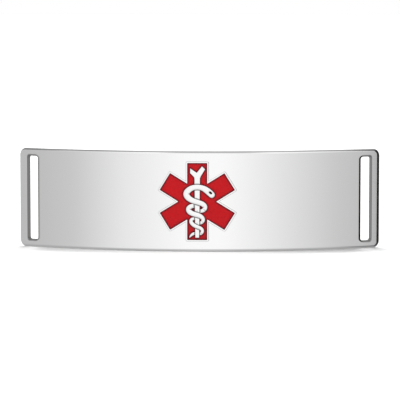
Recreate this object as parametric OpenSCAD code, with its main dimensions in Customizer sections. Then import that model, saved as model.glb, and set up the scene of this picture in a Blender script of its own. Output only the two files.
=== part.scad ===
// Medical alert bracelet plate: a bent identification plate with a strap slot at each end and a
// six-armed star in its middle. The star's rim, a forked staff and the serpent round it stand in
// relief, and red enamel fills the bed between them.
// The plate stands on a long edge. +X runs along it, -Y is the side its bowed face looks to, and
// the origin is the middle of its bounding box, at the bottom. Lengths are in millimetres.

/* [Plate] */
// Length of the plate, measured along its outer face
plate_l = 48.5; // [36:0.1:60]
// Height of the plate
plate_h = 12.7; // [11.6:0.1:18]
// Thickness of the sheet
plate_t = 0.8; // [0.6:0.05:1.5]
// Radius that the outer face is bent to
bend_r = 48; // [36:0.5:80]
// Radius of the plate's four corners
corner_r = 0.9; // [0.3:0.05:1.6]
// Radius of the rounded edges
edge_r = 0.28; // [0.05:0.01:0.28]

/* [Strap slots] */
// Width of each slot, along the plate
slot_w = 1.55; // [1:0.05:3]
// Metal left between a slot and the end of the plate
end_bar = 1.25; // [0.6:0.05:2]
// Metal left above and below each slot
slot_rail = 0.97; // [0.6:0.01:2.5]
// Radius of each slot's corners
slot_r = 0.3; // [0.1:0.05:0.45]

/* [Star] */
// Span of the star over its two upright arms
star_span = 9.73; // [8:0.01:10.2]
// Span of the star over two slanted arms
slant_span = 9.59; // [8:0.01:10.2]
// Width of the star's arms
arm_w = 2.5; // [2.3:0.02:2.8]
// Angle between the upright arms and the slanted ones
arm_angle = 58.3; // [56:0.1:64]
// Width of the raised rim around the star
rim_w = 0.2; // [0.12:0.01:0.35]
// Height of the rim, staff and serpent above the plate's face
relief_rise = 0.12; // [0.06:0.01:0.25]
// Depth of the enamel bed below the plate's face
bed_depth = 0.3; // [0.15:0.01:0.4]
// Depth of the enamel's surface below the top of the relief
enamel_sink = 0.07; // [0.02:0.01:0.15]
// Clearance between the enamel and the metal around it
enamel_gap = 0.015; // [0.01:0.005:0.03]
// Width of the engraved line where one thing passes over another
line_w = 0.08; // [0.05:0.01:0.12]
// Depth of that engraved line
line_depth = 0.08; // [0.04:0.01:0.12]

/* [Hidden] */

// Curves are true arcs once built, and this only sets how finely they are drawn
$fn = 96;
// Tools reach this far past what they cut
over = 1;
// Depth to which the relief is rooted in the plate below the bed
root = 0.15;
arm_l = star_span / 2;
mid_z = plate_h / 2;
inner_r = bend_r - plate_t;
bed_r = bend_r - bed_depth;
relief_r = bend_r + relief_rise;
enamel_r = relief_r - enamel_sink;
// Angles from the plate's middle, about the bend's axis
slot_mid = plate_l / 2 - end_bar - slot_w / 2;
slot_a = slot_mid / bend_r * 180 / PI;
// Distance from a slot's middle to the plate's end
end_x = slot_w / 2 + end_bar;
blank_a = (slot_mid + end_x + over) / bend_r * 180 / PI;
// The furthest back that the plate reaches, which is the inner edge of its ends
back_y = end_x * sin(slot_a) - sqrt(pow(inner_r, 2) - pow(end_x, 2)) * cos(slot_a);
axis_y = (relief_r - back_y) / 2;

// Columns of the serpent's tables, as shares of an arm's length: place along the plate, place up
// it from the star's middle, and the body's width there
COL_X = 0;
COL_Z = 1;
COL_W = 2;
// Head, first loop and first crossing, as far as the bend where the body turns back
SERPENT_1 = [
  [0.377, 0.177, 0.164], [0.304, 0.245, 0.172], [0.216, 0.312, 0.158], [0.121, 0.359, 0.140],
  [0.000, 0.378, 0.131], [-0.120, 0.359, 0.139], [-0.222, 0.301, 0.153], [-0.288, 0.210, 0.161],
  [-0.251, 0.114, 0.156], [-0.164, 0.045, 0.146], [-0.057, 0.004, 0.136], [0.048, -0.028, 0.132],
  [0.147, -0.067, 0.128], [0.210, -0.137, 0.122], [0.180, -0.210, 0.112], [0.114, -0.246, 0.094],
  [0.000, -0.246, 0.084]];
// Second loop, from behind the staff to behind it again
SERPENT_2 = [
  [0.000, -0.100, 0.096], [-0.098, -0.108, 0.108], [-0.185, -0.134, 0.122], [-0.232, -0.203, 0.134],
  [-0.185, -0.283, 0.134], [-0.091, -0.324, 0.130], [0.004, -0.349, 0.124], [0.099, -0.388, 0.114],
  [0.158, -0.461, 0.102], [0.133, -0.531, 0.090], [0.074, -0.560, 0.076], [0.000, -0.560, 0.066]];
// Third loop
SERPENT_3 = [
  [0.000, -0.432, 0.062], [-0.083, -0.442, 0.072], [-0.142, -0.462, 0.086], [-0.164, -0.520, 0.098],
  [-0.124, -0.587, 0.102], [-0.054, -0.636, 0.098], [0.026, -0.666, 0.092], [0.099, -0.699, 0.090],
  [0.140, -0.762, 0.088], [0.109, -0.826, 0.080], [0.048, -0.845, 0.072], [-0.018, -0.838, 0.066]];
// The end of the tail
TAIL = [
  [-0.018, -0.823, 0.064], [-0.083, -0.831, 0.074], [-0.130, -0.855, 0.072], [-0.171, -0.896, 0.056],
  [-0.203, -0.940, 0.020]];
// Rows of each loop that pass behind the staff, at its start and at its end
HIDDEN_START = 1;
HIDDEN_END = 2;
// Points between one row of a table and the next
steps = 4;
// Share of a bend's radius that a band may fill on the inside
inner_share = 0.7;
// The staff's outline, in the same shares, from its foot up the right side and down the left
STAFF = [
  [0.052, -0.943], [0.074, 0.604], [0.096, 0.657], [0.206, 0.838], [0.123, 0.920], [-0.012, 0.750],
  [-0.184, 0.866], [-0.188, 0.739], [-0.084, 0.635], [-0.074, 0.604], [-0.052, -0.943]];
// The eye's place, half length, half width and tilt in degrees
EYE = [0.345, 0.227];
eye_l = 0.042 * arm_l;
eye_w = 0.025 * arm_l;
eye_tilt = -38;

// One number on the smooth curve through four rows, at share t between the middle two
function smooth(a, b, c, d, t) =
  0.5 * (2 * b + (c - a) * t + (2 * a - 5 * b + 4 * c - d) * t * t + (3 * b - a - 3 * c + d) * t * t * t);
function row(rows, i) = rows[max(0, min(len(rows) - 1, i))];
// A table's rows with the curve's points put in between them
function curve(rows) = [
  for (i = [0:len(rows) - 2], s = [0:steps - 1])
    [for (c = [COL_X, COL_Z, COL_W])
      smooth(row(rows, i - 1)[c], rows[i][c], rows[i + 1][c], row(rows, i + 2)[c], s / steps)],
  rows[len(rows) - 1]];
// Evens out the bends of a line, a number of times over, with its two ends left in place
function eased(rows, times) =
  times == 0 ? rows :
  eased([
    for (i = [0:len(rows) - 1])
      i == 0 || i == len(rows) - 1 ? rows[i] : (rows[i - 1] + 2 * rows[i] + rows[i + 1]) / 4], times - 1);
function fine(rows) = eased(curve(rows), 3);
function heading(rows, i) =
  let (d = row(rows, i + 1) - row(rows, i - 1)) [d[COL_X], d[COL_Z]] / norm([d[COL_X], d[COL_Z]]);
// How sharply the line bends to the left at a row, as one over the bend's radius in millimetres
function bend(rows, i) =
  let (a = heading(rows, i - 1), b = heading(rows, i + 1), step = row(rows, i + 1) - row(rows, i - 1))
    (a[0] * b[1] - a[1] * b[0]) / (norm([step[COL_X], step[COL_Z]]) * arm_l);
// The side of a band that lies to the left (side = 1) or right (side = -1) of its line. On the
// inside of a bend it stops short of the bend's middle
function edge(rows, side, grow) = [
  for (i = [0:len(rows) - 1])
    let (
      h = heading(rows, i), half = rows[i][COL_W] / 2 * arm_l,
      reach = half / max(1, half * side * bend(rows, i) / inner_share) + grow)
      [rows[i][COL_X] * arm_l - side * h[1] * reach, rows[i][COL_Z] * arm_l + side * h[0] * reach]];
function reversed(list) = [for (i = [len(list) - 1:-1:0]) list[i]];
function part_of(list, first, last) = [for (i = [first:last]) list[i]];
// An outline moved outwards by d, with its corners kept sharp
function outward(p, q) = let (d = (q - p) / norm(q - p)) [d[1], -d[0]];
function grown(points, d) = [
  for (i = [0:len(points) - 1])
    let (
      n = len(points), p = points[i],
      a = outward(points[(i + n - 1) % n], p), b = outward(p, points[(i + 1) % n]))
      p + (a + b) * d / (1 + a * b)];

// Points of a round end ahead of a line's first row, from its right side to its left
function round_end(rows, grow) =
  let (h = heading(rows, 0), r = rows[0][COL_W] / 2 * arm_l + grow, middle = [rows[0][COL_X], rows[0][COL_Z]])
    [for (a = [15:15:165]) middle * arm_l + r * (cos(a) * [h[1], -h[0]] - sin(a) * h)];

// A flat band along a table's curve, with a square start or a round one
module band(rows, grow = 0, round = false) {
  line = fine(rows);
  polygon(concat(edge(line, 1, grow), reversed(edge(line, -1, grow)), round ? round_end(line, grow) : []));
}

module staff(grow = 0) {
  polygon(grown([for (p = STAFF) p * arm_l], grow));
}

module star(grow = 0) {
  for (turn = [-arm_angle, 0, arm_angle])
    rotate(turn) square([arm_w + 2 * grow, (turn == 0 ? star_span : slant_span) + 2 * grow], center = true);
}

// The serpent and staff seen from the front
module figure(grow = 0) {
  staff(grow);
  band(SERPENT_1, grow, round = true);
  for (rows = [SERPENT_2, SERPENT_3, TAIL]) band(rows, grow);
}

// The stretch of a loop that passes in front of the staff
function front_rows(rows, from) = part_of(rows, from, len(rows) - 1 - HIDDEN_END);

// Lines engraved beside whatever passes over something else
module crossing_lines() {
  fronts = [front_rows(SERPENT_1, 0), front_rows(SERPENT_2, HIDDEN_START), front_rows(SERPENT_3, HIDDEN_START)];
  below = [SERPENT_2, SERPENT_3, TAIL];
  for (i = [0:len(fronts) - 1]) difference() {
    intersection() {
      band(fronts[i], line_w);
      union() {
        staff();
        band(below[i]);
      }
    }
    band(fronts[i]);
  }
  difference() {
    intersection() {
      staff(line_w);
      union() {
        for (rows = [SERPENT_1, SERPENT_2, SERPENT_3])
          band(part_of(rows, len(rows) - 1 - HIDDEN_END, len(rows) - 1));
        for (rows = [SERPENT_2, SERPENT_3, TAIL]) band(part_of(rows, 0, HIDDEN_START + 1));
      }
    }
    staff();
    for (rows = fronts) band(rows);
  }
}

module eye(grow = 0) {
  translate(EYE * arm_l) rotate(eye_tilt) {
    square([2 * (eye_l - eye_w), 2 * (eye_w + grow)], center = true);
    for (end = [-1, 1]) translate([end * (eye_l - eye_w), 0]) circle(r = eye_w + grow);
  }
}

// A rectangle centred on the origin with round corners
module rounded(size, r) {
  square([size[0] - 2 * r, size[1]], center = true);
  square([size[0], size[1] - 2 * r], center = true);
  for (x = [-1, 1], y = [-1, 1])
    translate([x * (size[0] / 2 - r), y * (size[1] / 2 - r)]) circle(r = r);
}

// A flat shape, drawn as seen from the front, pushed out from the bend's axis through the plate
module punched() {
  rotate([90, 0, 0]) linear_extrude(relief_r + over) children();
}

// What its children leave outside the radius r about the bend's axis
module outside(r) {
  difference() {
    children();
    translate([0, 0, -over]) cylinder(r = r, h = plate_h + 2 * over);
  }
}

// The ring of metal between two radii, over the plate's height
module ring(inner, outer) {
  outside(inner) cylinder(r = outer, h = plate_h);
}

// Bent sheet with rounded long edges, a little longer than the plate
module blank() {
  rotate([0, 0, -90 - blank_a]) rotate_extrude(angle = 2 * blank_a)
    translate([bend_r - plate_t / 2, mid_z]) rounded([plate_t, plate_h], edge_r);
}

// What is trimmed off past the right-hand end and its round corners
module trimming() {
  difference() {
    translate([end_x - corner_r, -mid_z - over]) square([corner_r + 3 * over, plate_h + 2 * over]);
    translate([end_x - corner_r - over, -mid_z]) square([over, plate_h]);
    translate([end_x - corner_r - over, corner_r - mid_z]) square([over + corner_r, plate_h - 2 * corner_r]);
    for (z = [-1, 1]) translate([end_x - corner_r, z * (mid_z - corner_r)]) circle(r = corner_r);
  }
}

// The bent plate with its two slots and the bed for the enamel
module bare_plate() {
  difference() {
    blank();
    for (side = [0, 1]) mirror([side, 0, 0]) rotate([0, 0, slot_a]) punched() translate([0, mid_z]) {
      trimming();
      rounded([slot_w, plate_h - 2 * slot_rail], slot_r);
    }
    outside(bed_r) punched() translate([0, mid_z]) star(rim_w / 2);
  }
}

// The rim, staff and serpent, left standing in the enamel
module relief() {
  difference() {
    intersection() {
      punched() translate([0, mid_z]) {
        difference() {
          star(rim_w);
          star();
        }
        figure();
      }
      ring(bed_r - root, relief_r);
    }
    outside(relief_r - line_depth) punched() translate([0, mid_z]) crossing_lines();
    outside(bed_r) punched() translate([0, mid_z]) eye();
  }
}

module id_plate() {
  color("gainsboro") translate([0, axis_y, 0]) {
    bare_plate();
    relief();
  }
}

module red_enamel() {
  color("firebrick") translate([0, axis_y, 0]) intersection() {
    punched() translate([0, mid_z]) difference() {
      star(-enamel_gap);
      figure(enamel_gap);
    }
    ring(bed_r + enamel_gap, enamel_r);
  }
}

module eye_enamel() {
  color("black") translate([0, axis_y, 0]) intersection() {
    punched() translate([0, mid_z]) eye(-enamel_gap);
    ring(bed_r + enamel_gap, enamel_r);
  }
}

id_plate();
red_enamel();
eye_enamel();
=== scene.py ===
"""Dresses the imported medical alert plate: a bent, polished identification plate with a strap slot at
each end and a red enamel star whose rim, forked staff and serpent stand in relief.

Everything is in metres. The plate stands on a long edge on z = 0, +X runs along it, and its bowed
face looks to -Y.
"""
import math
from functools import partial

import bpy
import numpy as np
from bpy.props import FloatProperty, FloatVectorProperty, PointerProperty
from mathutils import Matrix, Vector, kdtree
from mathutils.geometry import delaunay_2d_cdt


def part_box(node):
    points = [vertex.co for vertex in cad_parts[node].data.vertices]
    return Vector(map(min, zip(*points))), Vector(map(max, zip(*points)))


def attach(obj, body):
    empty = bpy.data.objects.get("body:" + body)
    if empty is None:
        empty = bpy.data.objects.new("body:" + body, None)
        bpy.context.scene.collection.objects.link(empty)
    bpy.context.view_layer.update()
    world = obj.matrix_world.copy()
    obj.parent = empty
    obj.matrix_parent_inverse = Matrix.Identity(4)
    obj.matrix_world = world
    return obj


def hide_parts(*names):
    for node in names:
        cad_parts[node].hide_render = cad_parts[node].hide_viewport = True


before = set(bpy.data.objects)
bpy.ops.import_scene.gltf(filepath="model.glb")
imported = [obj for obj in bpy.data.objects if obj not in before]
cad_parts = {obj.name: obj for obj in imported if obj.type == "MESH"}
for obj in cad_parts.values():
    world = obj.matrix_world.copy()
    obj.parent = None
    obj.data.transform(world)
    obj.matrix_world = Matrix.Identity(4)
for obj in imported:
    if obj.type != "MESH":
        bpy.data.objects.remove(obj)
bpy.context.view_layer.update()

bl_info = {
    "name": "Medical alert plate",
    "version": (1, 0, 0),
    "blender": (4, 5, 0),
    "location": "View3D > Sidebar > Alert Plate",
    "description": "Builds a bent identification plate with a red enamel medical star",
    "category": "Add Mesh",
}

PLATE_LOW, PLATE_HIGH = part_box("id_plate")


# Sizes and colours


def number(name, default, description, kind=FloatProperty, **limits):
    """A number or a colour that a user can set."""
    return kind(name=name, default=default, description=description, **limits)


length = partial(number, min=0.0, max=0.1, unit="LENGTH", precision=5)
angle = partial(number, subtype="ANGLE")
amount = partial(number, min=0.0, max=10.0)  # a brightness, or a share where the most is 1
colour = partial(number, kind=FloatVectorProperty, size=3, min=0.0, max=1.0, subtype="COLOR")


class PlateSizes(bpy.types.PropertyGroup):
    """The bent sheet and its slots"""

    face_length: length("Length", 0.0485, "Along the outer face")
    height: length("Height", PLATE_HIGH[2] - PLATE_LOW[2], "Height of the plate")
    thickness: length("Thickness", 0.0008, "Thickness of the sheet")
    bend_radius: length("Bend radius", 0.048, "Radius that the outer face is bent to", max=1.0)
    corner_radius: length("Corner radius", 0.0009, "Radius of the four corners")
    edge_radius: length("Edge depth", 0.00028, "Depth of the outer edges' rounding")
    edge_reach: length("Edge reach", 0.00038, "Reach of the long edges' rounding")
    end_reach: length("End reach", 0.00055, "Reach of the ends' rounding")
    slot_width: length("Slot width", 0.00155, "Width of each strap slot")
    end_bar: length("End bar", 0.00125, "Metal between a slot and the plate's end")
    slot_rail: length("Slot rail", 0.00097, "Metal above and below each slot")
    slot_radius: length("Slot corner", 0.0003, "Radius of each slot's corners")
    slot_edge: length("Slot edge", 0.00006, "Rounding of each slot's rims")
    slot_worn_edge: length("Worn reach", 0.0004, "Reach of the rim's rounding nearest the star")
    slot_worn_depth: length("Worn depth", 0.00014, "Depth of the rim's rounding nearest the star")
    slot_end_edge: length("Slot end edge", 0.00028, "Reach of the rounding above and below a slot")


class StarSizes(bpy.types.PropertyGroup):
    """The star, its rim and what stands in it"""

    span: length("Span", 0.00973, "Over the two upright arms")
    slant_span: length("Slanted span", 0.00959, "Over two slanted arms")
    arm_width: length("Arm width", 0.0025, "Width of each arm")
    arm_angle: angle("Arm angle", math.radians(58.3), "Between the upright arms and the slanted ones")
    rim_width: length("Rim width", 0.0002, "Width of the raised rim")
    rise: length("Relief", 0.00012, "Height of the rim, staff and serpent")
    enamel_sink: length("Enamel depth", 0.00007, "Depth of the enamel below the relief")
    line_width: length("Line width", 0.00008, "Width of the engraved lines")
    line_depth: length("Line depth", 0.00008, "Depth of the engraved lines")
    edge_radius: length("Relief edge", 0.00002, "Rounding of the relief's edges")
    crown: length("Crown", 0.000015, "How far the relief swells")


class Finishes(bpy.types.PropertyGroup):
    """Colours and polish"""

    metal: colour("Metal", (0.90, 0.90, 0.90), "Colour of the metal")
    crevice_shade: colour("Crevice", (0.20, 0.19, 0.19), "Colour deep in engraved lines")
    # painted shade: the metal's colour deep in engraved lines, down the relief's walls and on the slot walls
    polish: amount("Polish", 0.12, "Roughness of the metal", max=1.0)
    enamel: colour("Enamel", (0.45, 0.005, 0.0085), "Colour of the red enamel")
    # painted shade: the red enamel's colour beside the metal and in tight places
    enamel_edge_shade: colour("Enamel edge", (0.10, 0.003, 0.009), "Colour of the red enamel beside metal")
    # painted shade: the eye's near-black colour stands in for the shade of its small sunk pit
    eye: colour("Eye", (0.012, 0.003, 0.004), "Colour of the dark enamel in the eye")


class StudioSettings(bpy.types.PropertyGroup):
    """Camera, floor and light"""

    distance: length("Camera distance", 0.303, "From the camera to the plate", max=5.0)
    azimuth: angle("Azimuth", math.radians(2.4), "How far to the right the camera stands")
    elevation: angle("Elevation", math.radians(5.0), "How far up the camera stands")
    view_width: length("View width", 0.0510, "Width that the camera sees at the plate", max=1.0)
    aim_x: length("Aim X", 0.00021, "What the camera looks at, along", min=-0.1)
    aim_z: length("Aim Z", 0.00626, "What the camera looks at, up")
    screen: amount("Screen", 1.062, "Light of the screen that the plate faces")
    wall: amount("Wall", 0.55, "Light of the walls beside the plate")
    black_card: amount("Black card", 0.015, "Light of the black card at the right")
    behind: amount("Behind", 0.42, "Light of the room behind the plate")
    overhead: amount("Overhead", 0.26, "Light of the room above the plate")
    corners: amount("Upper corners", 0.10, "Light high up at both sides")
    skylight: amount("Skylight", 0.54, "Light from straight above the middle")
    underfoot: amount("Underfoot", 0.255, "Light of the table itself")
    lift: amount("Lift", 1.12, "How much brighter it is higher up")
    right_lift: amount("Right lift", 1.36, "The same at the far right")
    room: amount("Room", 0.25, "Share of its light where it isn't mirrored")
    back_lamp: amount("Back light", 2.1, "Strength of the light above and behind")
    left_lamp: amount("Left light", 3.25, "Strength of the light at the left")
    right_lamp: amount("Right light", 2.35, "Strength of the light at the right")
    front_lamp: amount("Front light", 1.2, "Strength of the low light ahead")


# Small shapes, in metres

TIP_RADIUS, NOTCH_RADIUS = 0.00008, 0.00004  # the star's corners and notches at the rim's inner edge
FOOT_TIP_RADIUS, FOOT_NOTCH_RADIUS = 0.00022, 0.00002  # the same at the rim's foot
RIM_FOOT, RIM_OUTSIDE, RIM_INSIDE = 0.000015, 0.00005, 0.000025  # radii of the rim's roundings
RIM_BURIED, FIGURE_BURIED = 0.00005, 0.00006  # how far their walls reach below the enamel
SERPENT_LIFT = 0.00002  # how much higher the serpent swells than the staff
SWELL_REACH = 0.0003  # how far in from an edge the relief goes on swelling
MENISCUS, MENISCUS_REACH = 0.00005, 0.00006  # how high the enamel climbs up the metal, and how far off
EYE_SINK = 0.00004

# Shares of full darkness, all of it painted shade

SLOT_SHADES = ((-1, 0.66), (1, 0.75))  # painted shade of the walls of the left slot and of the right one
SLOT_END_SHADE = 0.85  # painted shade of their walls above and below
SHADE_RISE = 1.8  # how soon a rounding's painted shade gets as dark as its wall
EDGE_SHADE, EDGE_SHADE_REACH = 0.85, 0.00017  # painted shade of the enamel beside the metal, and how far that reaches
TIGHT_GAIN, TIGHT_FROM = 3.0, 0.78  # painted shade darkens the enamel where it fills less than this share around it

# How finely the meshes are made, in metres or numbers of parts

POINT_STEPS, NORMAL_STEPS = 1e8, 1e3  # in a metre and in a direction, and equal steps are welded
SIDE_PITCH = 0.0005  # along the straight sides of the plate and the slots
FACE_PITCH, FACE_MARGIN, FACE_SAMPLES = 0.0008, 0.0003, 0.0001  # over the face, and off its outlines
EDGE_PITCH = 0.00006  # along the star's edge and the staff
BESIDE_EDGES = (0.00002, 0.000045, 0.00008)  # from an edge to the points that shape its rounding
FINE_PITCH, FINE_REACH, FINE_SAMPLES = 0.00008, 0.00045, 0.00004  # over and beside the figure
COARSE_PITCH = 0.0002  # over the rest of the star
CROWDING = 0.000018  # of points as near as this, one is kept
STAR_MARGIN = 1.1  # how far past the arms a grid goes, as a share of their length
PLATE_CORNER_PARTS, SLOT_CORNER_PARTS, ROUND_PARTS = 8, 6, 8
ARC_PARTS, SIDE_PARTS = 4, 6  # round a corner of the star, and along a side
ROW_SHARE = 0.866  # of a grid's pitch, from row to row
TINY, CROSSING_LIMIT = 1e-12, 1e-8  # keeps a division safe, and how near counts as touching

PAINTED_SHADE = "depth"  # the attribute that carries the painted shade, how dark each point is

# The studio. A direction's parts are x to the right, y away and z up, each from -1 to 1, and leaning is z
# and a share of y. A pair tells where a change of the light begins and where it ends

SENSOR_WIDTH = 36.0  # in millimetres
FLOOR_HALF, FLOOR_COLOUR = 3.0, (0.90, 0.90, 0.90, 1)
LIFT_UP, LIFT_ACROSS = (0.1, 0.4), (0.15, 0.5)  # z where the light is lifted, and x where more so
SKYLIGHT_MIDDLE, SKYLIGHT_EDGE = 0.03, (0.14, 0.30)  # x, and how far from there
RIGHT_GLOW, RIGHT_GLOW_EDGE = 0.2, (0.36, 0.43)  # light at the ceiling's right, and x
CORNERS_EDGE = (0.52, 0.62)  # how far to a side
FADE_SHARE, NEAR_SHARE, NEAR_GLOW = 1 / 6, 0.46, 0.05  # of the screen, beside it and near its left
LEAN, CEILING_EDGE = 0.3, (0.62, 0.88)  # the share of y, and leaning
MIDDLE_BAND, CORNER_BAND, CORNER_BAND_SIDES = (0.05, 0.28), (0.35, 0.55), (0.62, 0.70)
TABLE_EDGE, TABLE_SHARE, TABLE_LEAST = (-0.1, -0.7), 0.34, 0.42  # z, and the light that it mirrors
TABLE_SHADE, TABLE_SHADE_EDGE = 0.3, (0.62, 0.70)  # what is left of it at the right, and x


# Flat places and directions


def unit(rows):
    """A direction, or rows of directions, brought to length one."""
    return rows / np.linalg.norm(rows, axis=-1, keepdims=True)


def direction(a):
    """The flat direction at an angle."""
    return np.array([math.cos(a), math.sin(a)])


def rightwards(rows):
    """Rows of flat directions turned clockwise by a quarter."""
    return np.stack([rows[:, 1], -rows[:, 0]], axis=1)


def cross(a, b):
    """The cross product of flat directions, or of rows of them."""
    return a[..., 0] * b[..., 1] - a[..., 1] * b[..., 0]


def turned(point, turn):
    """A flat place turned anticlockwise about the origin."""
    x, z = point
    return np.array([x * math.cos(turn) - z * math.sin(turn), x * math.sin(turn) + z * math.cos(turn)])


# The bent sheet as a space of its own: along it, out of its face, and up


def bent(sizes, flat):
    """Points in space for rows of (along, out, up)."""
    along, out, up = flat.T
    turn = along / sizes.plate.bend_radius
    reach = sizes.plate.bend_radius + out
    axis_y = PLATE_LOW[1] + sizes.plate.bend_radius + sizes.star.rise
    return np.stack([reach * np.sin(turn), axis_y - reach * np.cos(turn), up], axis=1)


def bent_directions(sizes, flat, directions):
    """Directions in space for rows of (along, out, up) directions at flat points."""
    turn = flat[:, 0] / sizes.plate.bend_radius
    along, out, up = directions.T
    x = along * np.cos(turn) + out * np.sin(turn)
    y = along * np.sin(turn) - out * np.cos(turn)
    return unit(np.stack([x, y, up], axis=1))


def on_star(sizes, spots, out):
    """Rows of (along, out, up) for places seen from the front round the star's middle."""
    x, z = spots.T
    along = sizes.plate.bend_radius * np.arcsin(x / sizes.plate.bend_radius)
    return np.column_stack([along, np.broadcast_to(out, len(x)), z + sizes.plate.height / 2])


class Skin:
    """A mesh in the making, in flat coordinates."""

    def __init__(self):
        self.points, self.normals, self.values, self.faces = [], [], [], []

    def add(self, points, normals=None, values=0.0):
        """Adds rows of points and returns their numbers."""
        first = sum(map(len, self.points))
        self.points.append(points)
        self.normals.append(np.zeros_like(points) if normals is None else normals)
        self.values.append(np.broadcast_to(values, len(points)))
        return np.arange(first, first + len(points))

    def join(self, loops):
        """Adds quads between each closed loop and the next, which has as many points."""
        for a, b in zip(loops, loops[1:]):
            self.faces.extend(zip(a, np.roll(a, -1), np.roll(b, -1), b))

    def build(self, context, name, sizes, own_normals, material, slot, node):
        """Makes the piece, welded and facing outwards, with its material and body, and hides its CAD node.
        The slot is not used.
        """
        flat, normals, values = (np.concatenate(rows) for rows in (self.points, self.normals, self.values))
        space = bent(sizes, flat)
        steps = np.concatenate([flat * POINT_STEPS, normals * (NORMAL_STEPS if own_normals else 0)], axis=1)
        _, first, place = np.unique(
            np.round(steps).astype(np.int64), axis=0, return_index=True, return_inverse=True)
        place = place.reshape(-1)
        space, flat, normals, values = (rows[first] for rows in (space, flat, normals, values))
        faces = []
        for face in self.faces:
            ring = [int(place[corner]) for corner in face]
            ring = [corner for i, corner in enumerate(ring) if corner != ring[i - 1]]
            if len(ring) > 2:
                faces.append(ring)
        if own_normals:
            normals = bent_directions(sizes, flat, normals)
            for ring in faces:
                a, b, c = space[ring[0]], space[ring[1]], space[ring[2]]
                if np.dot(np.cross(b - a, c - a), normals[ring].sum(axis=0)) < 0:
                    ring.reverse()
        mesh = bpy.data.meshes.new(name)
        mesh.from_pydata(space.tolist(), [], faces)
        mesh.shade_smooth()
        mesh.attributes.new(PAINTED_SHADE, "FLOAT", "POINT").data.foreach_set("value", values.astype(np.float32))
        if own_normals:
            mesh.normals_split_custom_set_from_vertices(normals.tolist())
        mesh.update()
        mesh.materials.append(material)
        piece = bpy.data.objects.new(name, mesh)
        context.scene.collection.objects.link(piece)
        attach(piece, "root")
        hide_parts(node)


# Outlines


def steps_between(start, end, parts):
    """Points that divide a line into parts, from its start and without its end."""
    return [start + (end - start) * i / parts for i in range(parts)]


def divided(outline, pitch):
    """A closed outline with points put in along its longer edges."""
    points = []
    for a, b in zip(outline, np.roll(outline, -1, axis=0)):
        points += steps_between(a, b, max(1, math.ceil(np.linalg.norm(b - a) / pitch)))
    return np.array(points)


def nearest(points, samples):
    """How far each point lies from the nearest of some samples."""
    tree = kdtree.KDTree(len(samples))
    for i, (x, z) in enumerate(samples):
        tree.insert((x, z, 0), i)
    tree.balance()
    return np.array([tree.find((x, z, 0))[2] for x, z in points])


def distances(points, outlines, pitch):
    """How far each point lies from the nearest of some closed outlines."""
    return nearest(points, np.concatenate([divided(outline, pitch) for outline in outlines]))


def rounded_rectangle(middle, width, height, radius, corner_parts):
    """Points and outward directions of a rectangle with round corners, anticlockwise."""
    signs = np.array([(1, 1), (-1, 1), (-1, -1), (1, -1)])
    centres = np.array(middle) + signs * (np.array([width, height]) / 2 - radius)
    points, outs = [], []
    for corner, centre in enumerate(centres):
        for i in range(corner_parts + 1):
            a = math.radians(90 * corner + 90 * i / corner_parts)
            outs.append(direction(a))
            points.append(centre + radius * outs[-1])
        start, end = points[-1], centres[(corner + 1) % 4] + radius * outs[-1]
        parts = max(1, math.ceil(np.linalg.norm(end - start) / SIDE_PITCH))
        points += steps_between(start, end, parts)[1:]
        outs += [outs[-1]] * (parts - 1)
    return np.array(points), np.array(outs)


def star_corners(star, grow):
    """Corners of the star's outline moved outwards by grow, anticlockwise from the right."""
    wide = star.arm_width / 2 + grow
    angles = [math.pi / 2 - star.arm_angle, math.pi / 2, math.pi / 2 + star.arm_angle]
    angles += [a + math.pi for a in angles]
    angles.append(angles[0] + 2 * math.pi)
    corners = []
    for i, (a, following) in enumerate(zip(angles, angles[1:])):
        half = (star.span if i in (1, 4) else star.slant_span) / 2 + grow
        u = direction(a)
        v = np.array([-u[1], u[0]])
        corners += [u * half - v * wide, u * half + v * wide]
        reach = wide / math.sin((following - a) / 2)
        corners.append(direction((a + following) / 2) * reach)
    return corners


def star_outline(star, grow, across=0.0):
    """Points and outward directions of the star's outline moved outwards by grow, with rounded corners.

    Across goes from 0 at the rim's inner edge to 1 at its foot and sets how round the corners are.
    """
    tip_radius = TIP_RADIUS + (FOOT_TIP_RADIUS - TIP_RADIUS) * across
    notch_radius = NOTCH_RADIUS + (FOOT_NOTCH_RADIUS - NOTCH_RADIUS) * across
    corners = star_corners(star, grow)
    arcs = []
    for before, corner, after in zip(corners[-1:] + corners, corners, corners[1:] + corners[:1]):
        into, away = unit(corner - before), unit(after - corner)
        turn = math.atan2(cross(into, away), into @ away)
        side, radius = (1, tip_radius) if turn > 0 else (-1, notch_radius)
        out = np.array([into[1], -into[0]])
        centre = corner - into * radius * math.tan(abs(turn) / 2) - side * radius * out
        normals = [turned(out, turn * k / ARC_PARTS) for k in range(ARC_PARTS + 1)]
        arcs.append([(centre + side * radius * n, n) for n in normals])
    points, outs = [], []
    for arc, following in zip(arcs, arcs[1:] + arcs[:1]):
        places, normals = zip(*arc)
        points += [*places, *steps_between(places[-1], following[0][0], SIDE_PARTS)[1:]]
        outs += [*normals, *[normals[-1]] * (SIDE_PARTS - 1)]
    return np.array(points), np.array(outs)


def inside(outline, points):
    """Which points lie inside a closed outline."""
    x, z = points[:, 0], points[:, 1]
    found = np.zeros(len(points), bool)
    for (ax, az), (bx, bz) in zip(outline, np.roll(outline, -1, axis=0)):
        if az == bz:
            continue
        found ^= ((az > z) != (bz > z)) & (x < (bx - ax) * (z - az) / (bz - az) + ax)
    return found


def triangulate(outlines, extra):
    """Points and anticlockwise triangles over closed outlines, which may cross, and extra points."""
    points, edges = [], []
    for outline in outlines:
        first = len(points)
        points += list(outline)
        edges += [(first + i, first + (i + 1) % len(outline)) for i in range(len(outline))]
    found = delaunay_2d_cdt(points + list(extra), edges, [], 0, CROSSING_LIMIT, False)
    return np.array(found[0]), np.array(found[2])


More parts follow.
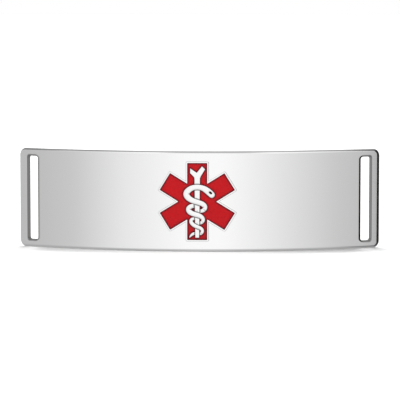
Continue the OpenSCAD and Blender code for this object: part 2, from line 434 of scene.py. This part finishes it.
def grid(low, high, pitch):
    """Points in staggered rows over a rectangle."""
    rows = []
    for i, z in enumerate(np.arange(low[1], high[1], pitch * ROW_SHARE)):
        x = np.arange(low[0] + (pitch / 2 if i % 2 else 0), high[0], pitch)
        rows.append(np.stack([x, np.full_like(x, z)], axis=1))
    return np.concatenate(rows)


# The serpent and staff, as seen from the front. Their tables hold thousandths of an arm's length

# Each piece has rows of the place along, the place up from the star's middle, and the body's width
SERPENT = {
    # It goes as far as the bend after the first crossing
    "serpent_head_and_first_loop": [
        (377, 177, 164), (304, 245, 172), (216, 312, 158), (121, 359, 140), (0, 378, 131), (-120, 359, 139),
        (-222, 301, 153), (-288, 210, 161), (-251, 114, 156), (-164, 45, 146), (-57, 4, 136), (48, -28, 132),
        (147, -67, 128), (210, -137, 122), (180, -210, 112), (114, -246, 94), (0, -246, 84)],
    "serpent_second_loop": [
        (0, -100, 96), (-98, -108, 108), (-185, -134, 122), (-232, -203, 134), (-185, -283, 134),
        (-91, -324, 130), (4, -349, 124), (99, -388, 114), (158, -461, 102), (133, -531, 90), (74, -560, 76),
        (0, -560, 66)],
    "serpent_third_loop": [
        (0, -432, 62), (-83, -442, 72), (-142, -462, 86), (-164, -520, 98), (-124, -587, 102),
        (-54, -636, 98), (26, -666, 92), (99, -699, 90), (140, -762, 88), (109, -826, 80), (48, -845, 72),
        (-18, -838, 66)],
    "serpent_tail": [
        (-18, -823, 64), (-83, -831, 74), (-130, -855, 72), (-171, -896, 56), (-203, -940, 20)],
}
# Rows of each stretch that lie behind the staff, at its start and at its end
HIDDEN = [(0, 2), (1, 2), (1, 2), (1, 0)]
# The staff's outline from its foot, up the right side and down the left
STAFF = [
    (52, -943), (74, 604), (96, 657), (206, 838), (123, 920), (-12, 750), (-184, 866), (-188, 739),
    (-84, 635), (-74, 604), (-52, -943)]
# The eye, in shares of an arm's length and degrees
EYE_PLACE, EYE_HALF_LENGTH, EYE_HALF_WIDTH, EYE_TILT = (0.345, 0.227), 0.042, 0.025, -38.0
STEPS = 10  # points from one row of a table to the next
SMOOTHINGS = 19  # times that each point of the serpent is drawn towards its neighbours
INNER_SHARE = 0.7  # share of a bend's radius that a body may fill on the inside


def smooth_line(rows, arm):
    """A stretch of the serpent as many rows of (x, z, width) in metres on an even curve."""
    rows = np.array(rows) / 1000
    padded = np.vstack([rows[0], rows, rows[-1]])
    line = []
    for i in range(len(rows) - 1):
        a, b, c, d = padded[i:i + 4]
        for s in range(STEPS):
            t = s / STEPS
            line.append(0.5 * (2 * b + (c - a) * t + (2 * a - 5 * b + 4 * c - d) * t * t
                               + (3 * b - a - 3 * c + d) * t ** 3))
    line = np.array(line + [rows[-1]])
    for _ in range(SMOOTHINGS):
        line[1:-1] = (line[:-2] + 2 * line[1:-1] + line[2:]) / 4
    return line * arm


def body_outline(line, grow, round_start, first=0, stop=None):
    """The closed outline of a stretch of the serpent, or of part of it."""
    middle, half = line[:, :2], line[:, 2] / 2
    step = np.gradient(middle, axis=0)
    ahead = unit(step)
    left = -rightwards(ahead)
    bend = cross(ahead, np.gradient(ahead, axis=0)) / np.linalg.norm(step, axis=1)
    sides = []
    for side in (1, -1):
        reach = half / np.maximum(1, half * side * bend / INNER_SHARE) + grow
        sides.append((middle + side * left * reach[:, None])[first:stop])
    outline = list(sides[0]) + list(sides[1][::-1])
    if round_start:
        r = half[0] + grow
        for a in np.radians(np.arange(10, 180, 10)):
            outline.append(middle[0] + r * (math.cos(a) * -left[0] - math.sin(a) * ahead[0]))
    return np.array(outline)


def grown_outline(points, grow):
    """A closed outline moved outwards, with its corners kept sharp."""
    a = rightwards(unit(points - np.roll(points, 1, axis=0)))
    b = rightwards(unit(np.roll(points, -1, axis=0) - points))
    return points + (a + b) * grow / (1 + np.sum(a * b, axis=1, keepdims=True))


def eye_outline(arm):
    """The eye's outline."""
    half, wide = EYE_HALF_LENGTH * arm, EYE_HALF_WIDTH * arm
    points = []
    for end, start in ((1, -90), (-1, 90)):
        for i in range(ROUND_PARTS + 1):
            t = math.radians(start + 180 * i / ROUND_PARTS)
            points.append((end * (half - wide) + wide * math.cos(t), wide * math.sin(t)))
    tilt = math.radians(EYE_TILT)
    return np.array([turned(point, tilt) for point in points]) + np.array(EYE_PLACE) * arm


ENAMEL, METAL_STAFF, METAL_SERPENT, GROOVE, EYE = 1, 2, 3, 7, 8


def star_map(sizes):
    """The star's inside as points, triangles and the region of each triangle."""
    star = sizes.star
    arm = star.span / 2
    star_edge = star_outline(star, 0.0)[0]
    divided_edge = divided(star_edge, EDGE_PITCH)
    staff_corners = np.array(STAFF) / 1000 * arm
    staff = divided(staff_corners, EDGE_PITCH)
    staff_wide = grown_outline(staff_corners, star.line_width)
    bodies, fronts, fronts_wide = [], [], []
    for i, (rows, (start, end)) in enumerate(zip(SERPENT.values(), HIDDEN)):
        line = smooth_line(rows, arm)
        bodies.append(body_outline(line, 0.0, i == 0))
        if end:
            for found, grow in ((fronts, 0.0), (fronts_wide, star.line_width)):
                stop = (len(rows) - 1 - end) * STEPS + 1
                found.append(body_outline(line, grow, i == 0, start * STEPS, stop))
    eye = eye_outline(arm)
    figure = [staff, *bodies, eye]
    outlines = [divided_edge, staff, divided(staff_wide, EDGE_PITCH), eye] + bodies + fronts + fronts_wide
    # Points beside each edge shape its rounding, and a grid fills the rest
    beside = []
    for outline in figure + [divided_edge]:
        ahead = np.roll(outline, -1, axis=0) - np.roll(outline, 1, axis=0)
        out = rightwards(ahead) / (np.linalg.norm(ahead, axis=1, keepdims=True) + TINY)
        for off in BESIDE_EDGES:
            beside += [outline + out * off, outline - out * off]
    fine = grid((-arm, -arm), (arm, arm), FINE_PITCH)
    fine = fine[distances(fine, figure, FINE_SAMPLES) < FINE_REACH]
    reach = STAR_MARGIN * arm
    coarse = grid((-reach, -reach), (reach, reach), COARSE_PITCH)
    extra = np.concatenate(beside + [fine, coarse])
    extra = extra[inside(star_edge, extra)]
    _, kept = np.unique(np.round(extra / CROWDING).astype(int), axis=0, return_index=True)
    points, triangles = triangulate(outlines, extra[kept])
    centres = points[triangles].mean(axis=1)
    region = np.where(inside(star_edge, centres), ENAMEL, 0)
    in_staff, near_staff = inside(staff, centres), inside(staff_wide, centres)
    near_front = [inside(outline, centres) for outline in fronts_wide]
    for i, body in enumerate(bodies):
        in_body = inside(body, centres)
        region[in_body] = METAL_SERPENT + i
        crossed = np.any([near_staff] + near_front[:i] + near_front[i + 1:], axis=0)
        region[in_body & crossed] = GROOVE
    region[in_staff] = METAL_STAFF
    region[in_staff & np.any(near_front, axis=0)] = GROOVE
    for i, outline in enumerate(fronts):
        region[inside(outline, centres)] = METAL_SERPENT + i
    region[inside(eye, centres)] = EYE
    return points, triangles, region


def share_around(points, triangles, half):
    """A function that tells how much of the area round some places the triangles cover."""
    pitch, spread, steps = 0.00005, 0.00015, 8
    a, b, c = (points[triangles[:, k]] for k in range(3))
    areas = np.abs(cross(b - a, c - a)) / 2
    centres = (a + b + c) / 3
    bins = round(2 * half / pitch)
    cover = np.histogram2d(*centres.T, bins=bins, range=[[-half, half]] * 2, weights=areas)[0] / pitch ** 2
    reach = np.arange(-steps, steps + 1) * pitch
    kernel = np.exp(-reach ** 2 / (2 * spread ** 2))
    kernel /= kernel.sum()
    for axis in (0, 1):
        cover = np.apply_along_axis(np.convolve, axis, cover, kernel, mode="same")

    def share(spots):
        place = np.clip((spots + half) / pitch - 0.5, 0, bins - 1.001)
        low = place.astype(int)
        x, z = (place - low).T
        i, j = low.T
        return ((1 - x) * (1 - z) * cover[i, j] + x * (1 - z) * cover[i + 1, j]
                + (1 - x) * z * cover[i, j + 1] + x * z * cover[i + 1, j + 1])

    return share


def region_skin(sizes, points, triangles, height, value, wall_to=None):
    """The skin over some triangles, with a wall down from its border where wall_to gives a height.

    Height and value, which is the painted shade, are numbers, or functions of places and of how far in from
    the border they lie.
    """
    used, place = np.unique(triangles.reshape(-1), return_inverse=True)
    place = place.reshape(triangles.shape)
    # An edge that only one triangle has is on the border, and it runs anticlockwise round the region
    edges = [(face[k - 1], face[k]) for face in place.tolist() for k in range(3)]
    both = set(edges)
    border = [(a, b) for a, b in edges if (b, a) not in both]
    spots = points[used]
    starts, stops = spots[np.array(border).T]
    inwards = nearest(spots, np.concatenate([starts * (1 - t) + stops * t for t in (0, 0.25, 0.5, 0.75)]))
    height, value = (part(spots, inwards) if callable(part) else part for part in (height, value))
    flat = on_star(sizes, spots, height)
    skin = Skin()
    skin.add(flat, values=value)
    skin.faces.extend(map(tuple, place))
    if wall_to is not None:
        ends = sorted({corner for edge in border for corner in edge})
        low = flat[ends]
        low[:, 1] = wall_to
        # The wall down into the enamel gets full painted shade
        numbers = dict(zip(ends, skin.add(low, values=1.0)))
        skin.faces.extend((b, a, numbers[a], numbers[b]) for a, b in border)
    return skin


def rounded_top(star, top, crown):
    """Heights over a region whose edges are rounded and whose middle swells a little."""
    r = star.edge_radius

    def height(_spots, inwards):
        near = np.clip(r - inwards, 0, r)
        swell = 1 - (1 - np.clip(inwards / SWELL_REACH, 0, 1)) ** 2
        return top - crown - (r - np.sqrt(r * r - near * near)) + crown * swell

    return height


# Materials


def set_inputs(tree, node, inputs):
    """Sets a node's inputs to values, or wires them to sockets."""
    for name, value in inputs.items():
        if isinstance(value, bpy.types.NodeSocket):
            tree.links.new(value, node.inputs[name])
        else:
            node.inputs[name].default_value = value


def add_node(tree, kind, inputs, **settings):
    """A new shader node with its settings and its inputs."""
    node = tree.nodes.new("ShaderNode" + kind)
    for name, value in settings.items():
        setattr(node, name, value)
    set_inputs(tree, node, inputs)
    return node


def computed(tree, operation, a, b=0.0, clamp=False):
    """What an operation makes of sockets or numbers."""
    return add_node(tree, "Math", {0: a, 1: b}, operation=operation, use_clamp=clamp).outputs[0]


def mixed_level(tree, mask, low, high):
    """A level that goes from low to high with a mask."""
    return computed(tree, "ADD", computed(tree, "MULTIPLY", mask, high - low), low)


def mixed_colour(tree, mask, low, high):
    """A colour that goes from low to high with a mask. Both are colours or sockets."""
    low, high = (c if isinstance(c, bpy.types.NodeSocket) else (*c, 1) for c in (low, high))
    return add_node(tree, "Mix", {"Factor": mask, "A": low, "B": high}, data_type="RGBA").outputs["Result"]


def fine_noise():
    """The group that all materials share: noise that stays on its object."""
    if "Fine noise" in bpy.data.node_groups:
        return bpy.data.node_groups["Fine noise"]
    group = bpy.data.node_groups.new("Fine noise", "ShaderNodeTree")
    for name, side, kind in (
            ("Waves", "INPUT", "Vector"), ("Detail", "INPUT", "Float"), ("Height", "OUTPUT", "Float")):
        group.interface.new_socket(name, in_out=side, socket_type="NodeSocket" + kind)
    inlet, outlet = group.nodes.new("NodeGroupInput").outputs, group.nodes.new("NodeGroupOutput")
    place = add_node(group, "TexCoord", {}).outputs["Object"]
    place = add_node(group, "Mapping", {"Vector": place, "Scale": inlet["Waves"]}).outputs["Vector"]
    noise = add_node(group, "TexNoise", {"Vector": place, "Scale": 1.0, "Detail": inlet["Detail"]})
    set_inputs(group, outlet, {"Height": noise.outputs["Fac"]})
    return group


def noise_in(tree, waves, detail):
    """Noise with some waves a metre along each axis."""
    return add_node(tree, "Group", {"Waves": waves, "Detail": detail}, node_tree=fine_noise()).outputs[0]


def uneven(tree, noise, strength):
    """How far a noise lies from its middle."""
    return computed(tree, "MULTIPLY", computed(tree, "SUBTRACT", noise, 0.5), strength)


def bumped(tree, height, strength, distance):
    """The direction of a surface tilted by a height."""
    inputs = {"Height": height, "Strength": strength, "Distance": distance}
    return add_node(tree, "Bump", inputs).outputs["Normal"]


def painted_shade_in(tree):
    """The painted shade, how dark each point is to be."""
    return add_node(tree, "Attribute", {}, attribute_name=PAINTED_SHADE).outputs["Fac"]


def new_material(name):
    """A material with its tree and its shader."""
    material = bpy.data.materials.new(name)
    material.use_nodes = True
    tree = material.node_tree
    return material, tree, tree.nodes["Principled BSDF"]


def polished_metal(finish):
    """Bright metal with faint marks of polishing along it, and painted shade deep in its engraved lines and
    down its walls.
    """
    if "Polished metal" in bpy.data.materials:
        return bpy.data.materials["Polished metal"]
    material, tree, shader = new_material("Polished metal")
    # Long fine marks, and broader short ones
    marks = [
        computed(tree, "MULTIPLY", noise_in(tree, waves, detail), share)
        for waves, detail, share in (((120, 120, 6000), 3.0, 0.7), ((900, 900, 1400), 2.0, 0.3))]
    marks = computed(tree, "ADD", *marks)
    set_inputs(tree, shader, {
        "Base Color": mixed_colour(tree, painted_shade_in(tree), finish.metal, finish.crevice_shade),
        "Metallic": 1.0,
        "Roughness": computed(tree, "ADD", uneven(tree, marks, 0.08), finish.polish),
        "Normal": bumped(tree, marks, 0.15, 0.000004)})
    return material


def red_enamel(finish):
    """Glossy red enamel with painted shade where it meets the metal, and a faint cloudiness."""
    material, tree, shader = new_material("Red enamel")
    noise = noise_in(tree, (1500, 1500, 1500), 3.0)
    # Painted shade along the metal, with a random cloudiness on top
    mask = computed(tree, "ADD", painted_shade_in(tree), uneven(tree, noise, 0.35), clamp=True)
    set_inputs(tree, shader, {
        "Base Color": mixed_colour(tree, mask, finish.enamel, finish.enamel_edge_shade),
        "Roughness": 0.12,
        "Specular IOR Level": 0.12,
        "Normal": bumped(tree, noise, 0.2, 0.00001)})
    return material


def dark_enamel(finish):
    """Glossy enamel, near black as painted shade of the small sunk eye, and unevenly dark."""
    material, tree, shader = new_material("Dark enamel")
    deep = tuple(c * 0.5 for c in finish.eye)
    set_inputs(tree, shader, {
        "Base Color": mixed_colour(tree, noise_in(tree, (9000, 9000, 9000), 2.0), deep, finish.eye),
        "Roughness": 0.15,
        "Specular IOR Level": 0.1})
    return material


# Operators


class ALERTPLATE_OT_plate(bpy.types.Operator):
    """Build the bent plate with its rounded edges and strap slots"""

    bl_idname = "alertplate.plate"
    bl_label = "Bent plate"

    def execute(self, context):
        sizes = context.scene.alert_plate
        plate, star = sizes.plate, sizes.star
        skin = Skin()
        outlines = {1: [], -1: []}  # round the front face, and round the back
        for ring in self.rings(plate):
            for front, foot in zip((1, -1), self.wall(skin, plate.thickness, *ring)):
                outlines[front].append(foot)
        rim_foot = star_outline(star, star.rim_width + RIM_FOOT, 1.0)[0]
        outlines[1].append(on_star(sizes, rim_foot, 0.0)[:, ::2])
        for front in (1, -1):
            self.face(skin, plate, front, outlines[front])
        metal = polished_metal(sizes.finish)
        skin.build(context, "bent_plate", sizes, True, metal, "plate_metal", "id_plate")
        return {"FINISHED"}

    def rings(self, plate):
        """The outlines of the plate and its slots, each with its directions out of the metal, how far its
        rounding reaches over the face, how deep it goes, and how dark the painted shade on its wall is."""
        mid = plate.height / 2
        outline, outs = rounded_rectangle(
            (0, mid), plate.face_length, plate.height, plate.corner_radius, PLATE_CORNER_PARTS)
        reach = plate.edge_reach * outs[:, 1] ** 2 + plate.end_reach * outs[:, 0] ** 2
        yield outline, outs, reach, plate.edge_radius, 0.0
        slot_middle = plate.face_length / 2 - plate.end_bar - plate.slot_width / 2
        slot_height = plate.height - 2 * plate.slot_rail
        for side, shade in SLOT_SHADES:
            middle = (side * slot_middle, mid)
            outline, outs = rounded_rectangle(
                middle, plate.slot_width, slot_height, plate.slot_radius, SLOT_CORNER_PARTS)
            worn = np.clip(-side * outs[:, 0], 0, 1)
            reach = plate.slot_edge + (plate.slot_worn_edge - plate.slot_edge) * worn
            reach = reach + (plate.slot_end_edge - reach) * outs[:, 1] ** 2
            depth = plate.slot_edge + (plate.slot_worn_depth - plate.slot_edge) * worn
            yield outline, -outs, reach, depth, shade + (SLOT_END_SHADE - shade) * outs[:, 1] ** 2

    def wall(self, skin, thickness, outline, outs, reach, depth, dark):
        """Adds a ring's wall with its two roundings and their painted shade, and returns where they meet the
        front and the back.
        """
        loops, feet = [], []
        for front in (1, -1):
            for k in range(ROUND_PARTS + 1)[::front]:
                t = math.radians(90 * k / ROUND_PARTS)
                place = outline - outs * (reach * (1 - math.sin(t)))[:, None]
                below = depth * (1 - math.cos(t))
                level = -below if front == 1 else below - thickness
                flat = np.insert(place, 1, level, axis=1)
                tilt = np.insert(outs * math.sin(t) / reach[:, None], 1, front * math.cos(t) / depth, axis=1)
                loops.append(skin.add(flat, unit(tilt), dark * min(1, SHADE_RISE * math.sin(t))))
                if k == 0:
                    feet.append(place)
        skin.join(loops)
        return feet

    def face(self, skin, plate, front, outlines):
        """Adds the front face or the back, inside its outline and round its holes."""
        def kept(points):
            found = inside(outlines[0], points)
            for hole in outlines[1:]:
                found &= ~inside(hole, points)
            return found

        spots = grid((-plate.face_length / 2, 0), (plate.face_length / 2, plate.height), FACE_PITCH)
        spots = spots[kept(spots)]
        spots = spots[distances(spots, outlines, FACE_SAMPLES) > FACE_MARGIN]
        points, triangles = triangulate(outlines, spots)
        keep = kept(points[triangles].mean(axis=1))
        level = 0.0 if front == 1 else -plate.thickness
        flat = np.insert(points, 1, level, axis=1)
        numbers = skin.add(flat, np.broadcast_to([0, front, 0], flat.shape))
        skin.faces.extend(tuple(face) for face in numbers[triangles[keep]])


class ALERTPLATE_OT_rim(bpy.types.Operator):
    """Build the raised rim round the star"""

    bl_idname = "alertplate.rim"
    bl_label = "Star rim"

    def execute(self, context):
        sizes = context.scene.alert_plate
        star = sizes.star
        skin = Skin()
        loops = []
        for out, level, tilt in self.rows(star):
            points, outs = star_outline(star, out, max(0.0, out) / (star.rim_width + RIM_FOOT))
            t = math.radians(tilt)
            normals = np.insert(outs * math.sin(t), 1, math.cos(t), axis=1)
            # The rim's inner wall down under the enamel gets full painted shade
            loops.append(skin.add(on_star(sizes, points, level), normals, 1.0 if tilt == -90 else 0.0))
        skin.join(loops)
        metal = polished_metal(sizes.finish)
        skin.build(context, "star_rim", sizes, True, metal, "plate_metal", "id_plate")
        return {"FINISHED"}

    def rows(self, star):
        """The rim's section from its foot inwards: the distance out from the star's edge, the height, and
        the surface's tilt outwards in degrees."""
        yield star.rim_width + RIM_FOOT, 0.0, 0
        # Each rounding's radius, edge and height, which way it goes out and up from there, and its tilts
        for radius, edge, level, out, up, tilts in (
                (RIM_FOOT, star.rim_width, 0.0, 1, 1, (30, 60, 85)),
                (RIM_OUTSIDE, star.rim_width, star.rise, -1, -1, (85, 65, 45, 25, 0)),
                (RIM_INSIDE, 0.0, star.rise, 1, -1, (0, -25, -45, -65, -85))):
            for tilt in tilts:
                t = math.radians(abs(tilt))
                yield edge + out * radius * (1 - math.sin(t)), level + up * radius * (1 - math.cos(t)), tilt
        yield 0.0, star.rise - star.enamel_sink - RIM_BURIED, -90


class ALERTPLATE_OT_star(bpy.types.Operator):
    """Build the staff, the serpent and the enamel between them"""

    bl_idname = "alertplate.star"
    bl_label = "Staff, serpent and enamel"

    def execute(self, context):
        sizes = context.scene.alert_plate
        star, finish = sizes.star, sizes.finish
        points, triangles, region = star_map(sizes)
        enamel_level = star.rise - star.enamel_sink
        enamel_share = share_around(points, triangles[region == ENAMEL], STAR_MARGIN * (star.span / 2))

        def enamel_height(_spots, inwards):
            return enamel_level + MENISCUS * np.exp(-inwards / MENISCUS_REACH)

        def enamel_painted_shade(spots, inwards):
            """Painted shade: darkest in tight places between the metal, and dark along every edge."""
            tight = np.clip(TIGHT_GAIN * (TIGHT_FROM - enamel_share(spots)), 0, 1)
            return np.clip(EDGE_SHADE * np.exp(-(inwards / EDGE_SHADE_REACH) ** 2) + tight, 0, 1)

        staff_height = rounded_top(star, star.rise, star.crown)
        serpent_height = rounded_top(star, star.rise + SERPENT_LIFT, star.crown + SERPENT_LIFT)
        wall_to = enamel_level - FIGURE_BURIED
        metal = (polished_metal(finish), "plate_metal", "id_plate")
        # Name, region, height, darkness as painted shade, foot of the wall, and then material, slot and CAD
        # node
        pieces = [
            ("staff", METAL_STAFF, staff_height, 0.0, wall_to, *metal),
            # The engraved lines' floors get full painted shade
            ("crossing_lines", GROOVE, star.rise - star.line_depth, 1.0, None, *metal)]
        for i, name in enumerate(SERPENT):
            pieces.append((name, METAL_SERPENT + i, serpent_height, 0.0, wall_to, *metal))
        pieces += [
            ("red_enamel_fill", ENAMEL, enamel_height, enamel_painted_shade, None,
             red_enamel(finish), "red_enamel", "red_enamel"),
            ("eye_enamel_fill", EYE, star.rise - EYE_SINK, 0.0, None,
             dark_enamel(finish), "dark_enamel", "eye_enamel")]
        for name, number, height, value, foot, *look in pieces:
            skin = region_skin(sizes, points, triangles[region == number], height, value, foot)
            skin.build(context, name, sizes, False, *look)
        return {"FINISHED"}


class ALERTPLATE_OT_studio(bpy.types.Operator):
    """Set up the pale floor, the soft light and the camera"""

    bl_idname = "alertplate.studio"
    bl_label = "Studio"

    def execute(self, context):
        scene = context.scene
        studio = scene.alert_plate.studio
        scene.view_settings.view_transform = "Standard"
        scene.view_settings.look = "None"
        self.floor(context)
        self.light(context)
        camera = bpy.data.cameras.new("Camera")
        camera.sensor_width = SENSOR_WIDTH
        camera.lens = SENSOR_WIDTH * studio.distance / studio.view_width
        camera.clip_start, camera.clip_end = 0.01, 50.0
        aim = Vector((studio.aim_x, 0.0, studio.aim_z))
        back = Vector((
            math.sin(studio.azimuth) * math.cos(studio.elevation),
            -math.cos(studio.azimuth) * math.cos(studio.elevation),
            math.sin(studio.elevation)))
        scene.camera = self.aimed(context, "Camera", camera, -back)
        scene.camera.location = aim + back * studio.distance
        return {"FINISHED"}

    def aimed(self, context, name, data, ahead):
        """An object in the scene that looks or shines along a direction."""
        holder = bpy.data.objects.new(name, data)
        holder.rotation_euler = ahead.to_track_quat("-Z", "Y").to_euler()
        context.scene.collection.objects.link(holder)
        return holder

    def floor(self, context):
        """A wide pale floor."""
        mesh = bpy.data.meshes.new("floor")
        corners = [(x * FLOOR_HALF, y * FLOOR_HALF, 0) for x, y in ((-1, -1), (1, -1), (1, 1), (-1, 1))]
        mesh.from_pydata(corners, [], [(0, 1, 2, 3)])
        floor = bpy.data.objects.new("floor", mesh)
        context.scene.collection.objects.link(floor)
        material, tree, shader = new_material("Pale floor")
        set_inputs(tree, shader, {"Base Color": FLOOR_COLOUR, "Roughness": 1.0, "Specular IOR Level": 0.0})
        mesh.materials.append(material)
        floor.visible_glossy = False

    def light(self, context):
        """Soft light from all round, brightest ahead of the plate and above it."""
        studio = context.scene.alert_plate.studio
        world = bpy.data.worlds.new("Soft studio")
        context.scene.world = world
        world.use_nodes = True
        tree = world.node_tree
        tree.nodes.clear()
        # Only what the metal mirrors directly has the full light, and the camera sees plain white
        seen = add_node(tree, "LightPath", {}).outputs
        matt = computed(tree, "SUBTRACT", 1.0, seen["Diffuse Depth"], clamp=True)
        mirrored = computed(tree, "MULTIPLY", seen["Is Glossy Ray"], matt)
        share = mixed_level(tree, mirrored, studio.room, 1.0)
        room = self.scaled(tree, self.surroundings(tree, studio), share)
        shown = mixed_colour(tree, seen["Is Camera Ray"], room, (1, 1, 1))
        background = add_node(tree, "Background", {"Color": shown}).outputs["Background"]
        add_node(tree, "OutputWorld", {"Surface": background})
        # Soft lamps, some degrees wide, that the metal doesn't mirror, and where they stand
        for name, spread, source in (
                ("back_lamp", 24, (0.0, 0.407, 0.914)), ("front_lamp", 30, (0.0, -0.98, 0.2)),
                ("left_lamp", 18, (-0.87, 0.0, 0.5)), ("right_lamp", 18, (0.87, 0.0, 0.5))):
            lamp = bpy.data.lights.new(name, "SUN")
            lamp.energy = getattr(studio, name)
            lamp.angle = math.radians(spread)
            self.aimed(context, name, lamp, -Vector(source)).visible_glossy = False

    def scaled(self, tree, light, factor):
        """A light made brighter or darker."""
        return add_node(tree, "VectorMath", {0: light, "Scale": factor}, operation="SCALE").outputs["Vector"]

    def ring(self, tree, side, studio):
        """The light at eye level by the share of a turn, from straight behind by the left and back."""
        fade = FADE_SHARE * studio.screen + (1 - FADE_SHARE) * studio.wall
        near = NEAR_SHARE * studio.screen + (1 - NEAR_SHARE) * fade + NEAR_GLOW
        # Degrees to the right of straight ahead, and the light that comes from there
        stops = [
            (-180, studio.behind), (-150, studio.wall), (-60, studio.wall), (-44, fade), (-27, near),
            (-6, studio.screen), (6, studio.screen), (44, fade), (58, studio.wall), (60, studio.wall),
            (61, studio.black_card), (106, studio.black_card), (112, studio.behind), (180, studio.behind)]
        node = add_node(tree, "ValToRGB", {"Fac": side})
        elements = node.color_ramp.elements
        elements.remove(elements[-1])
        for i, (degrees, light) in enumerate(stops):
            element = elements.new(degrees / 360 + 0.5) if i else elements[0]
            element.color = (light, light, light, 1)
        return node.outputs["Color"]

    def surroundings(self, tree, studio):
        """The light from each direction as the metal mirrors it."""
        plus, times, most, size_of = (
            partial(computed, tree, name) for name in ("ADD", "MULTIPLY", "MAXIMUM", "ABSOLUTE"))
        rest_of = partial(computed, tree, "SUBTRACT", 1.0)

        def ramp(value, limits):
            """A mask that goes smoothly from 0 to 1 between two limits."""
            return add_node(
                tree, "MapRange", {"Value": value, "From Min": limits[0], "From Max": limits[1]},
                interpolation_type="SMOOTHSTEP").outputs["Result"]

        place = add_node(tree, "TexCoord", {}).outputs["Generated"]
        x, y, z = add_node(tree, "SeparateXYZ", {0: place}).outputs
        side = computed(tree, "ARCTAN2", x, times(y, -1.0))
        level = self.ring(tree, plus(computed(tree, "DIVIDE", side, 2 * math.pi), 0.5), studio)
        lift = mixed_level(tree, ramp(x, LIFT_ACROSS), studio.lift - 1, studio.right_lift - 1)
        light = self.scaled(tree, level, plus(times(ramp(z, LIFT_UP), lift), 1.0))

        beside = ramp(size_of(plus(x, -SKYLIGHT_MIDDLE)), SKYLIGHT_EDGE)
        ceiling = mixed_level(tree, beside, studio.skylight, studio.overhead)
        ceiling = plus(ceiling, times(ramp(x, RIGHT_GLOW_EDGE), RIGHT_GLOW))
        far_off = ramp(size_of(x), CORNERS_EDGE)
        ceiling = plus(times(ceiling, rest_of(far_off)), times(far_off, studio.corners))
        # The ceiling comes down lower over the middle and at both far sides
        leaning = plus(z, times(y, LEAN))
        middle_band = times(ramp(leaning, MIDDLE_BAND), rest_of(beside))
        corner_band = times(ramp(leaning, CORNER_BAND), ramp(size_of(x), CORNER_BAND_SIDES))
        above = most(most(ramp(leaning, CEILING_EDGE), middle_band), corner_band)
        # The table mirrors some of what stands round it
        table = plus(times(most(level, TABLE_LEAST), TABLE_SHARE), studio.underfoot)
        table = times(table, mixed_level(tree, ramp(x, TABLE_SHADE_EDGE), 1.0, TABLE_SHADE))
        light = mixed_colour(tree, above, light, ceiling)
        return mixed_colour(tree, ramp(z, TABLE_EDGE), light, table)


class AlertPlateSettings(bpy.types.PropertyGroup):
    """All that a user can change"""

    plate: PointerProperty(type=PlateSizes, name="Plate", description="Sizes of the bent sheet and its slots")
    star: PointerProperty(type=StarSizes, name="Star", description="Sizes of the star")
    finish: PointerProperty(type=Finishes, name="Finishes", description="Colours and polish")
    studio: PointerProperty(type=StudioSettings, name="Studio", description="Camera, floor and light")


class ALERTPLATE_PT_panel(bpy.types.Panel):
    """Shows the settings and the buttons that build the pieces"""

    bl_idname = "ALERTPLATE_PT_panel"
    bl_label = "Alert Plate"
    bl_space_type = "VIEW_3D"
    bl_region_type = "UI"
    bl_category = "Alert Plate"

    def draw(self, context):
        layout = self.layout
        for group in ("plate", "star", "finish", "studio"):
            values = getattr(context.scene.alert_plate, group)
            column = layout.column(align=True)
            for name in values.__annotations__:
                column.prop(values, name)
        for operator in OPERATORS:
            layout.operator(operator.bl_idname)


OPERATORS = (ALERTPLATE_OT_plate, ALERTPLATE_OT_rim, ALERTPLATE_OT_star, ALERTPLATE_OT_studio)
CLASSES = (PlateSizes, StarSizes, Finishes, StudioSettings, AlertPlateSettings, *OPERATORS,
           ALERTPLATE_PT_panel)


def register():
    for made in CLASSES:
        bpy.utils.register_class(made)
    bpy.types.Scene.alert_plate = PointerProperty(type=AlertPlateSettings)


def unregister():
    del bpy.types.Scene.alert_plate
    for made in reversed(CLASSES):
        bpy.utils.unregister_class(made)


def main():
    register()
    bpy.ops.alertplate.plate()
    bpy.ops.alertplate.rim()
    bpy.ops.alertplate.star()
    bpy.ops.alertplate.studio()


if __name__ == "__main__":
    main()
